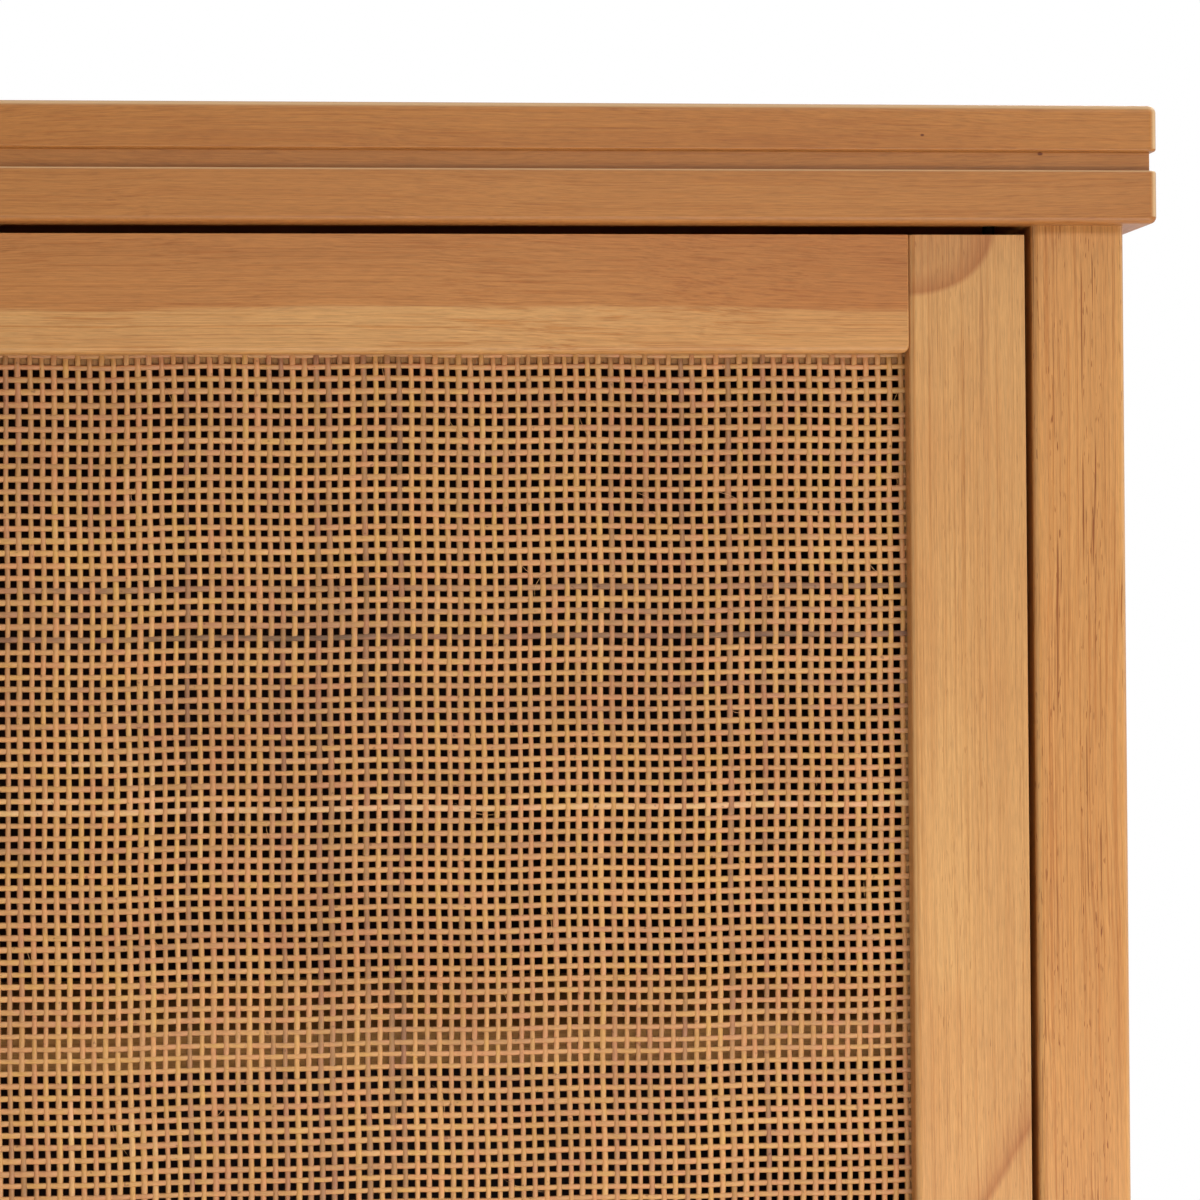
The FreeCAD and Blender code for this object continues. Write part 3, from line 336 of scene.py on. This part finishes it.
class Pine(Shader):
    """A board with its grain along one axis, glued up from staves where they have a width."""

    def __init__(self, name, axis, seed, wavy, staves):
        super().__init__(name)
        self.axis = axis
        self.offset = tuple(seed * step for step in SEED_STEPS)
        self.source, self.stave_tint = self.coordinates, None
        if staves:
            self.source, self.stave_tint = self.stave_coordinates(staves)
        self.bent = self.bend_grain(wavy)

    def grain(self, along, across, detail, roughness=0.5, distortion=0.0, source=None):
        return self.noise(grain_scale(self.axis, along, across), detail, roughness, self.offset,
                          source or self.bent, distortion)

    def stave_coordinates(self, width):
        """Coordinates that jump from one glued board to the next, and a tint for each board."""
        number = self.maths("FLOOR", self.maths("DIVIDE", self.parts(self.coordinates)["Y"], width))
        random = self.node("ShaderNodeTexWhiteNoise", noise_dimensions="1D")
        self.link(number, random.inputs["W"])
        jumped = self.vector_maths("MULTIPLY_ADD", random.outputs["Color"], STAVE_JUMP,
                                   self.coordinates)
        return jumped, self.ramp(random.outputs["Value"], STAVE_STOPS)

    def bend_grain(self, wavy):
        """Coordinates pushed sideways by a slow and a quick wave, so that lines aren't ruled."""
        slow = self.sway(self.grain(*SLOW_WAVE, source=self.source), SLOW_REACH * wavy)
        quick = self.sway(self.grain(*QUICK_WAVE, source=self.source), QUICK_REACH * wavy)
        push = self.maths("ADD", slow, quick)
        wave = self.node("ShaderNodeCombineXYZ")
        for key in "xyz":
            if key != self.axis:
                self.link(push, wave.inputs[key.upper()])
        return self.vector_maths("ADD", self.source, wave.outputs["Vector"])

    def pore_mask(self):
        """Thin dark dashes along the grain, in clusters."""
        long_dash = self.ramp(self.grain(*LONG_DASH), LONG_DASH_STOPS)
        short_dash = self.ramp(self.grain(*SHORT_DASH), SHORT_DASH_STOPS)
        cluster = self.ramp(self.grain(*PORE_CLUSTER), CLUSTER_STOPS)
        return self.maths("MULTIPLY", self.maths("MAXIMUM", long_dash, short_dash), cluster)

    def worn_and_highlit_arris_mask(self):
        """1 where the surface turns from one flat face to the next, 0 on the faces and underneath.
        It places the paler upward edges, partly rubbed wear and partly a painted highlight of light
        from above.
        """
        normal = self.parts(self.node("ShaderNodeTexCoord").outputs["Normal"])
        lean_x, lean_y, lean_z = (self.maths("ABSOLUTE", normal[key]) for key in "XYZ")
        flatness = self.maths("MAXIMUM", self.maths("MAXIMUM", lean_x, lean_y), lean_z)
        turning = self.ramp(flatness, ARRIS_STOPS)
        upward = self.ramp(self.maths("ADD", normal["Z"], 0.5), UPWARD_STOPS)
        return self.maths("MULTIPLY", turning, upward)

    def heart_mask(self, level):
        """1 above a height, 0 below it, with a slowly waving edge."""
        shift = self.sway(self.grain(*HEART_WAVE, source=self.coordinates), HEART_REACH)
        raised = self.maths("ADD", self.parts(self.coordinates)["Z"], shift)
        share = self.maths("DIVIDE", self.maths("SUBTRACT", raised, level), HEART_EDGE)
        return self.ramp(share, ((0.0, 0.0), (1.0, 1.0)), smooth=True)

    def distance_from(self, x, z, stretch):
        """How far a point of the board's front face is from x and z, with z stretched."""
        centred = self.vector_maths("SUBTRACT", self.coordinates, (x, 0.0, z))
        return self.vector_maths("LENGTH", self.vector_maths("MULTIPLY", centred, (1.0, 0.0, stretch)))

    def ring_mask(self, waver, x, z, radius, stretch, strength):
        """The heart of a lost branch: tinted inside, darkest at its rim, with a sharp outer edge."""
        away = self.maths("ADD", self.distance_from(x, z, stretch), self.sway(waver, RING_REACH))
        share = self.maths("DIVIDE", away, radius * RING_MARGIN)
        return self.ramp(share, weakened(RING_STOPS, strength))

    def stripe_mask(self, waver, x, z, lean, width, strength):
        """A soft slanting band through x and z, sharper on one side. lean is x over z along it."""
        place = self.parts(self.coordinates)
        across = self.maths("SUBTRACT", place["X"], x)
        down = self.maths("MULTIPLY", self.maths("SUBTRACT", place["Z"], z), lean)
        offset = self.maths("ADD", self.maths("SUBTRACT", across, down), self.sway(waver, STRIPE_REACH))
        share = self.maths("ADD", self.maths("DIVIDE", offset, width), 0.5)
        return self.ramp(share, weakened(STRIPE_STOPS, strength))

    def speck_mask(self, x, z, radius):
        share = self.maths("DIVIDE", self.distance_from(x, z, SPECK_STRETCH), radius)
        return self.ramp(share, SPECK_STOPS, smooth=True)


def pine(name, axis, wood, seed, lines=0.5, pores=0.3, figure=0.35, wavy=1.0, staves=0.0,
         heart=None, rings=(), stripes=(), specks=(), rubbed_and_highlit=0.15, gloss=1.0):
    """Lacquered pine in a lighter and a darker colour. lines, pores and figure are how strongly each
    shows, and wavy is how far the grain bends. heart is a height above which the wood is redder,
    and rings, stripes and specks are marks. The rubbed share is how much paler its upward rounded
    edges are, partly wear and partly a painted highlight of light from above, and gloss is the
    lacquer's share of the full shine."""
    board = Pine(name, axis, seed, wavy, staves)
    board.surface(roughness=0.44, coat=0.16 * gloss, coat_roughness=0.3, specular=0.3 * gloss)
    light, dark = wood
    middle = tuple((a + b) / 2 for a, b in zip(light, dark))
    board.tone = board.ramp(board.grain(*BROAD), tuple(zip(BROAD_PLACES, (dark, middle, light))),
                            smooth=True)
    line_share = lines
    if heart:
        mask = board.heart_mask(heart)
        board.tint(mask, HEARTWOOD)
        line_share = board.maths("MULTIPLY", board.maths("SUBTRACT", HEART_LINES, mask), lines)
    years, fibre = board.grain(*YEARS), board.grain(*FIBRE)
    patch = board.grain(*PATCH, distortion=0.6)
    pore = board.pore_mask()
    board.tint(line_share, board.ramp(years, YEAR_STOPS))
    board.tint(FIBRE_SHARE + lines / 2, board.ramp(fibre, FIBRE_STOPS))
    board.tint(FLECK_SHARE, board.ramp(board.grain(*FLECK), FLECK_STOPS))
    board.tint(figure, board.ramp(patch, PATCH_STOPS, smooth=True))
    board.tint(board.maths("MULTIPLY", pore, pores), PORE_TINT)
    for ring in rings:
        board.tint(board.ring_mask(patch, *ring), MARK_TINT)
    for stripe in stripes:
        board.tint(board.stripe_mask(patch, *stripe), MARK_TINT)
    for speck in specks:
        board.tint(board.speck_mask(*speck), SPECK_TINT)
    if staves:
        board.tint(1.0, board.stave_tint)
    # Upward rounded edges turn paler: partly rubbed wear and partly a painted highlight of light from
    # above.
    if rubbed_and_highlit:
        board.tone = board.mix(board.maths("MULTIPLY", board.worn_and_highlit_arris_mask(), rubbed_and_highlit), board.tone, RUBBED_AND_HIGHLIT)
    board.colour(board.tone)
    board.roughness(board.ramp(years, YEAR_ROUGHNESS))
    relief = board.mix(0.5, board.ramp(fibre, FIBRE_RELIEF), board.ramp(pore, PORE_RELIEF))
    board.bump(relief, distance=0.10 * MM)
    return board.material


# ---- cane, metal and plastic ----

# A strand's colour by its own tone, from a dull strand to a pale one.
STRAND_STOPS = ((0.00, (0.16, 0.078, 0.036)), (0.20, (0.33, 0.158, 0.071)),
                (0.42, (0.49, 0.236, 0.096)), (0.62, (0.58, 0.288, 0.108)),
                (0.80, (0.62, 0.318, 0.108)), (1.00, (0.68, 0.385, 0.180)))
HUE_STOPS = ((0.36, (1.06, 0.92, 1.02)), (0.50, WHITE), (0.64, (1.0, 1.05, 0.80)))
HAIR_STOPS = ((0.3, 0.72), (0.5, 1.0), (0.7, 1.12))
SPOT_STOPS = ((0.24, (0.35, 0.24, 0.18)), (0.30, WHITE))
CLOUD_STOPS = ((0.38, (0.91, 0.87, 0.85)), (0.50, WHITE), (0.62, (1.03, 1.03, 0.97)))

TONE_DRIFT = 0.7
HUE_SHARE = 0.7
HAIR_SHARE = 0.4
SPOT_SHARE = 0.6

# Noise in the cane: features per metre, along and across a strand or along x, y and z.
CANE_DRIFT = (30, 190)
CANE_HUE = (70, 120)
CANE_HAIR = (40, 2600)
CANE_SPOT = (420, 420, 420)
CANE_CLOUD = (7, 7, 11)

METAL_MARKS = (900, 900, 30)
METAL_DARK = 0.82
METAL_ROUGHNESS_RANGE = 0.08
PLASTIC_GRIT = (1500, 1500, 1500)
PLASTIC_DARK = 0.88


def cane_material(name, axis):
    """Peeled cane: each strand has its own tone, with fine fibres along it."""
    shader = Shader(name)
    shader.surface(roughness=0.48, coat=0.1, coat_roughness=0.3, specular=0.35)
    own_tone = shader.node("ShaderNodeAttribute", attribute_name="tone").outputs["Fac"]
    drift = shader.noise(grain_scale(axis, *CANE_DRIFT), detail=2)
    hue = shader.noise(grain_scale(axis, *CANE_HUE), detail=1, offset=(3, 8, 5))
    hair = shader.noise(grain_scale(axis, *CANE_HAIR), detail=2, offset=(1, 2, 3))
    spot = shader.noise(CANE_SPOT, detail=1, offset=(9, 4, 2))
    cloud = shader.noise(CANE_CLOUD, detail=2, offset=(4, 1, 6))
    shader.tone = shader.ramp(shader.maths("ADD", own_tone, shader.sway(drift, TONE_DRIFT)),
                              STRAND_STOPS)
    shader.tint(HUE_SHARE, shader.ramp(hue, HUE_STOPS))
    shader.tint(HAIR_SHARE, shader.ramp(hair, HAIR_STOPS))
    shader.tint(SPOT_SHARE, shader.ramp(spot, SPOT_STOPS))
    shader.tint(1.0, shader.ramp(cloud, CLOUD_STOPS))
    shader.colour(shader.tone)
    shader.bump(hair, distance=0.08 * MM)
    return shader.material


def metal(name, colour, roughness):
    """Metal with fine marks along z."""
    shader = Shader(name)
    shader.surface(roughness=roughness, metallic=1.0)
    marks = shader.noise(METAL_MARKS, detail=2)
    dark = tuple(METAL_DARK * part for part in colour)
    shader.colour(shader.ramp(marks, ((0.35, dark), (0.65, colour))))
    shader.roughness(shader.ramp(marks, ((0.3, roughness - METAL_ROUGHNESS_RANGE),
                                         (0.7, roughness + METAL_ROUGHNESS_RANGE))))
    shader.bump(marks, distance=0.02 * MM, strength=0.4)
    return shader.material


def moulded(name, colour):
    """Plastic with a fine grit."""
    shader = Shader(name)
    shader.surface(roughness=0.55)
    grit = shader.noise(PLASTIC_GRIT, detail=2)
    dark = tuple(PLASTIC_DARK * part for part in colour)
    shader.colour(shader.ramp(grit, ((0.35, dark), (0.65, colour))))
    shader.bump(grit, distance=0.03 * MM)
    return shader.material


# ---- the woven cane ----

WARP_PITCH = 4.97 * MM
WEFT_PITCH = 5.16 * MM
WARP_SHIFT = -1.3 * MM
WEFT_SHIFT = 1.4 * MM
WEAVE_LIFT = 0.38 * MM
SECTIONS_PER_CROSSING = 2

# A strand's cross-section: a flat back, and a crowned front with sloping sides.
STRAND_HALF = 1.29 * MM
STRAND_RISE = 0.45 * MM
STRAND_SINK = 0.30 * MM
STRAND_RING = ((-1.0, -STRAND_SINK), (-0.68, STRAND_RISE), (0.68, STRAND_RISE), (1.0, -STRAND_SINK))

# How strands differ: their course, their width and their tone.
WANDER_WAVELENGTHS = (0.31, 0.17, 0.08)
SHARED_WANDER = 0.8 * MM
OWN_WANDER = 0.30 * MM
OWN_SHIFT = 0.12 * MM
WIDTH_RANGE = (0.90, 1.08)
WIDTH_WAVE = 0.05
WIDTH_WAVE_RADIANS_PER_METRE = 90
DULL_SHARE = 0.06
DULL_TONE = 0.26
USUAL_TONE = 0.60
TONE_SPREAD = 0.11
TONE_RANGE = (0.02, 0.98)

FIBRES = 90
FIBRE_RADIUS = 0.09 * MM
FIBRE_SECTIONS = 9
FIBRE_LENGTH_RANGE_MM = (5, 24)
FIBRE_STAND_OFF_RANGE_MM = (0.1, 0.8)
FIBRE_TURN = 0.5
FIBRE_CURL = 1.3
FIBRE_TONE = 0.9
CANE_SEED = 40


def slow_wander(random, along, size):
    """A smooth sideways drift made of long waves."""
    total = np.zeros_like(along)
    for wavelength in WANDER_WAVELENGTHS:
        phase = random.uniform(0, math.tau)
        total += np.sin(along * math.tau / wavelength + phase) * random.uniform(0, 1)
    return total * size / len(WANDER_WAVELENGTHS)


def spread(low, high, pitch):
    """How many strands fit between two places, and where the first one goes."""
    count = int((high - low) / pitch)
    return count, (high + low - (count - 1) * pitch) / 2


def build_strands(name, low, high, middle_y, along_axis, random):
    """All the strands of one direction, as one mesh, each passing over and under the others in turn."""
    if along_axis == 0:
        across_axis, pitch, crossing, shift, sign = 2, WEFT_PITCH, WARP_PITCH, WEFT_SHIFT, 1
    else:
        across_axis, pitch, crossing, shift, sign = 0, WARP_PITCH, WEFT_PITCH, WARP_SHIFT, -1
    count, first = spread(low[across_axis], high[across_axis], pitch)
    crossings, start = spread(low[along_axis], high[along_axis], crossing)
    steps = np.arange(-1, SECTIONS_PER_CROSSING * crossings) / SECTIONS_PER_CROSSING
    along = np.clip(start + steps * crossing, low[along_axis], high[along_axis])
    lowest, highest = low[across_axis] + STRAND_HALF, high[across_axis] - STRAND_HALF
    drift = slow_wander(random, along, SHARED_WANDER)
    points = np.empty((count, len(along), len(STRAND_RING), 3))
    tones = []
    for number in range(count):
        centre = first + shift + number * pitch + random.normal(0, OWN_SHIFT) + drift
        centre = np.clip(centre + slow_wander(random, along, OWN_WANDER), lowest, highest)
        bulge = 1 + WIDTH_WAVE * np.sin(along * WIDTH_WAVE_RADIANS_PER_METRE + number)
        half = STRAND_HALF * random.uniform(*WIDTH_RANGE) * bulge
        dull = random.random() < DULL_SHARE
        tone = random.normal(DULL_TONE if dull else USUAL_TONE, TONE_SPREAD)
        tones.append(np.clip(tone, *TONE_RANGE))
        lift = WEAVE_LIFT * sign * np.cos(math.pi * (steps + number))
        for corner, (across, rise) in enumerate(STRAND_RING):
            points[number, :, corner, along_axis] = along
            points[number, :, corner, across_axis] = centre + across * half
            points[number, :, corner, 1] = middle_y - lift - rise
    return add_tubes(name, points, tones)


def tube_faces(count, sections, corners):
    """The sleeves and end caps of tubes whose points go by tube, section and corner."""
    start = (np.arange(count) * sections * corners)[:, None, None]
    step = (np.arange(sections - 1) * corners)[None, :, None]
    corner = np.arange(corners)[None, None, :]
    following = (corner + 1) % corners
    here, ahead = start + step, start + step + corners
    sleeves = np.stack([here + corner, here + following, ahead + following, ahead + corner], -1)
    first_caps = start[:, 0, :] + corner[0]
    last_caps = start[:, 0, :] + (sections - 1) * corners + corner[0, :, ::-1]
    return np.concatenate([sleeves.reshape(-1, corners), first_caps, last_caps])


def add_tubes(name, points, tones):
    """Closed tubes as one mesh. points is by tube, section and corner, and tones is by tube."""
    count, sections, corners = points.shape[:3]
    points = points.reshape(-1, 3)
    faces = tube_faces(count, sections, corners)
    first, second, third = (points[faces[:, number]] for number in range(3))
    inside_out = np.einsum("ij,ij->", first, np.cross(second, third)) < 0
    if inside_out:
        faces = faces[:, ::-1]
    mesh = bpy.data.meshes.new(name)
    mesh.vertices.add(len(points))
    mesh.vertices.foreach_set("co", points.astype(np.float32).ravel())
    mesh.loops.add(faces.size)
    mesh.loops.foreach_set("vertex_index", faces.astype(np.int32).ravel())
    mesh.polygons.add(len(faces))
    mesh.polygons.foreach_set("loop_start", np.arange(0, faces.size, corners, dtype=np.int32))
    mesh.polygons.foreach_set("use_smooth", np.ones(len(faces), bool))
    mesh.update(calc_edges=True)
    attribute = mesh.attributes.new("tone", "FLOAT", "POINT")
    attribute.data.foreach_set("value", np.repeat(tones, sections * corners).astype(np.float32))
    mesh.validate()
    made = bpy.data.objects.new(name, mesh)
    bpy.context.scene.collection.objects.link(made)
    return made


def build_fibres(name, low, high, front_y, random):
    """Stray hairs that stand off the weave: thin curved tubes, each a bow just in front of it."""
    step = np.linspace(-0.5, 0.5, FIBRE_SECTIONS)
    bow = (2 * step) ** 2
    level = np.zeros(FIBRE_SECTIONS)
    points = np.empty((FIBRES, FIBRE_SECTIONS, 4, 3))
    for number in range(FIBRES):
        heading = random.choice([0.0, math.pi / 2]) + random.normal(0, FIBRE_TURN)
        turns = heading + step * random.normal(0, FIBRE_CURL)
        reach = random.uniform(*FIBRE_LENGTH_RANGE_MM) * MM / FIBRE_SECTIONS
        x = random.uniform(low.x, high.x) + np.cumsum(np.cos(turns)) * reach
        z = random.uniform(low.z, high.z) + np.cumsum(np.sin(turns)) * reach
        y = front_y - random.uniform(*FIBRE_STAND_OFF_RANGE_MM) * MM * (1 - bow)
        thin = FIBRE_RADIUS * (1.1 - bow)
        side = np.stack([-np.sin(turns) * thin, level, np.cos(turns) * thin], -1)
        out = np.stack([level, -thin, level], -1)
        centre = np.stack([np.clip(x, low.x, high.x), y, np.clip(z, low.z, high.z)], -1)
        for corner, shift in enumerate((side, out, -side, -out)):
            points[number, :, corner] = centre + shift
    return add_tubes(name, points, np.full(FIBRES, FIBRE_TONE))


def add_cane():
    """Warps, wefts and stray fibres for each door, in the place of the plain sheet."""
    weft_cane = cane_material("cane_weft", "x")
    warp_cane = cane_material("cane_warp", "z")
    for number, side in enumerate(SIDES):
        random = np.random.default_rng(CANE_SEED + number)
        low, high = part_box(f"cane_panel_{side}")
        middle = (low.y + high.y) / 2
        front = middle - WEAVE_LIFT - STRAND_RISE
        pieces = [(build_strands(f"cane_warps_{side}", low, high, middle, 2, random), warp_cane),
                  (build_strands(f"cane_wefts_{side}", low, high, middle, 0, random), weft_cane),
                  (build_fibres(f"cane_fibres_{side}", low, high, front, random), weft_cane)]
        for piece, material in pieces:
            piece.data.materials.append(material)
            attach(piece, f"door_{side}")
            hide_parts(f"cane_panel_{side}")


# ---- materials for the CAD pieces ----

# A lighter and a darker colour for each kind of board.
DOOR_WOOD = ((0.60, 0.315, 0.110), (0.53, 0.262, 0.087))
POST_WOOD = ((0.60, 0.290, 0.090), (0.50, 0.220, 0.062))
# The top's and the groove's colours are darker than the doors': partly the wood's own tone and partly
# painted shade of the light falling off towards the top.
TOP_TONE_AND_SHADE = ((0.51, 0.215, 0.050), (0.43, 0.165, 0.036))
LIP_TONE_AND_SHADE = ((0.44, 0.178, 0.044), (0.37, 0.138, 0.031))
INSIDE_WOOD = ((0.50, 0.27, 0.10), (0.38, 0.19, 0.07))
SHELF_WOOD = ((0.66, 0.33, 0.090), (0.52, 0.25, 0.065))
# The back's pieces are coloured near-black with a duller lacquer: painted shade of the cabinet's dim
# inside, seen through the cane.
INNER_SHADE_WOOD = ((0.038, 0.012, 0.005), (0.024, 0.007, 0.003))

INNER_SHADE = dict(gloss=0.35, rubbed_and_highlit=0.0)
# The top's pieces get strongly paler upward edges: partly wear and partly a painted highlight of light
# from above and behind.
WORN_AND_HIGHLIT = dict(rubbed_and_highlit=0.6)
GLUED = dict(staves=70 * MM)

# A pin knot's place from the right-hand end, its height from the top or the bottom, and its radius.
TOP_KNOT = (101 * MM, 6.4 * MM, 1.1 * MM)
SPACER_KNOT = (47 * MM, 1 * MM, 1.5 * MM)

# The heartwood's lower edge, down from the top rail's upper edge.
HEART_DROP = 33 * MM

# A stile's marks.
BRANCH_RISE = 2 * MM
BRANCH_RADIUS = 36.5 * MM
BRANCH_STRETCH = 1.32
BRANCH_STRENGTH = 0.85
BAND_INSET = 8 * MM
BAND_DROP = 383 * MM
BAND_LEAN = 0.62
BAND_WIDTH = 16 * MM
BAND_STRENGTH = 0.8


def dress(nodes, material):
    for node in nodes:
        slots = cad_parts[node].data.materials
        slots.clear()
        slots.append(material)


def dress_wood():
    """Each board gets its own piece of grain, along its length."""
    boards = {
        "top_board": ("x", TOP_TONE_AND_SHADE, dict(WORN_AND_HIGHLIT, staves=90 * MM, lines=0.3, pores=0.1, figure=0.2,
                                          specks=[top_knot()])),
        "top_spacer_strips": ("x", LIP_TONE_AND_SHADE, dict(lines=0.2, pores=0.1, figure=0.1,
                                                  specks=[spacer_knot()])),
        "top_frame_front": ("x", LIP_TONE_AND_SHADE, dict(WORN_AND_HIGHLIT, lines=0.3, pores=0.1, figure=0.2)),
        "top_frame_back": ("x", LIP_TONE_AND_SHADE, WORN_AND_HIGHLIT),
        "top_frame_right": ("y", LIP_TONE_AND_SHADE, WORN_AND_HIGHLIT),
        "top_frame_left": ("y", LIP_TONE_AND_SHADE, WORN_AND_HIGHLIT),
        "front_bottom_rail": ("x", DOOR_WOOD, {}),
        "back_rail_lower": ("x", INNER_SHADE_WOOD, INNER_SHADE),
        "back_rail_upper": ("x", INNER_SHADE_WOOD, INNER_SHADE),
        "back_muntin": ("z", INNER_SHADE_WOOD, INNER_SHADE),
        "bottom_panel": ("x", INSIDE_WOOD, GLUED),
        "centre_partition": ("z", INSIDE_WOOD, GLUED),
    }
    paired = {
        "post_front": ("z", POST_WOOD, dict(pores=1.0, lines=0.8, figure=0.5, wavy=0.4)),
        "post_back": ("z", POST_WOOD, dict(pores=0.7, lines=0.7, wavy=0.5)),
        "side_rail_lower": ("y", DOOR_WOOD, {}),
        "side_rail_upper": ("y", DOOR_WOOD, {}),
        "side_panel": ("z", DOOR_WOOD, GLUED),
        "back_panel": ("z", INNER_SHADE_WOOD, dict(INNER_SHADE, figure=0.6)),
        "shelf_lower": ("x", SHELF_WOOD, GLUED),
        "shelf_upper": ("x", SHELF_WOOD, GLUED),
        "door_outer_stile": ("z", DOOR_WOOD, dict(pores=0.4, lines=0.45, figure=0.5, wavy=0.3)),
        "door_meeting_stile": ("z", DOOR_WOOD, dict(pores=0.4, lines=0.45, figure=0.4, wavy=0.4)),
        "door_top_rail": ("x", DOOR_WOOD, dict(pores=0.15, lines=0.6, figure=0.6)),
        "door_bottom_rail": ("x", DOOR_WOOD, dict(pores=0.15, lines=0.6, figure=0.2)),
        "cane_beads": ("z", INSIDE_WOOD, {}),
        "knob": ("y", DOOR_WOOD, dict(rubbed_and_highlit=0.0)),
    }
    for name, board in paired.items():
        for side in SIDES:
            boards[f"{name}_{side}"] = board
    for seed, (node, (axis, wood, extra)) in enumerate(boards.items(), 1):
        if node.startswith("door_top_rail"):
            extra = dict(extra, heart=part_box(node)[1].z - HEART_DROP)
        if node.startswith("door_outer_stile"):
            extra = dict(extra, **stile_marks(node))
        dress([node], pine(f"pine_{node}", axis, wood, seed, **extra))


def top_knot():
    """A pin knot in the front edge of the top, near its right-hand end."""
    low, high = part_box("top_board")
    inset, height, radius = TOP_KNOT
    return high.x - inset, low.z + height, radius


def spacer_knot():
    """A pin knot in the groove, near its right-hand end."""
    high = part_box("top_spacer_strips")[1]
    inset, drop, radius = SPACER_KNOT
    return high.x - inset, high.z - drop, radius


def stile_marks(node):
    """A lost branch's edge at the upper inner corner, and a slanting band half way down."""
    low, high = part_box(node)
    outwards = 1 if low.x > 0 else -1
    inner_x, outer_x = (low.x, high.x) if outwards > 0 else (high.x, low.x)
    ring = (inner_x, high.z + BRANCH_RISE, BRANCH_RADIUS, BRANCH_STRETCH, BRANCH_STRENGTH)
    stripe = (outer_x - outwards * BAND_INSET, high.z - BAND_DROP, outwards * BAND_LEAN, BAND_WIDTH,
              BAND_STRENGTH)
    return dict(rings=[ring], stripes=[stripe])


def dress_hardware():
    steel = metal("zinc_steel", (0.62, 0.62, 0.60), 0.34)
    # The pivot pins are near-black steel, made this dark as painted shade so they pass for the shade in
    # the gap above the door.
    pin_shade_black = metal("shade_black_steel", (0.020, 0.014, 0.010), 0.65)
    brown_plastic = moulded("catch_brown", (0.20, 0.11, 0.06))
    dress(["shelf_pegs", "top_brackets", "bracket_screws", "partition_screws"], steel)
    for side in SIDES:
        dress([f"knob_screw_{side}", f"strike_plate_{side}"], steel)
        dress([f"pivot_pins_{side}"], pin_shade_black)
        dress([f"catch_housing_{side}"], brown_plastic)
    dress(["pivot_bushes"], metal("turned_brass", (0.72, 0.52, 0.22), 0.3))
    dress(["catch_magnets"], metal("ground_magnet", (0.16, 0.16, 0.17), 0.45))
    dress(["foot_glides"], moulded("glide_brown", (0.10, 0.075, 0.06)))


add_camera()
add_world()
for light_name, light in LIGHTS.items():
    add_area_light(light_name, *light)
add_floor()
bpy.context.scene.view_settings.view_transform = "Standard"
dress_wood()
dress_hardware()
add_cane()
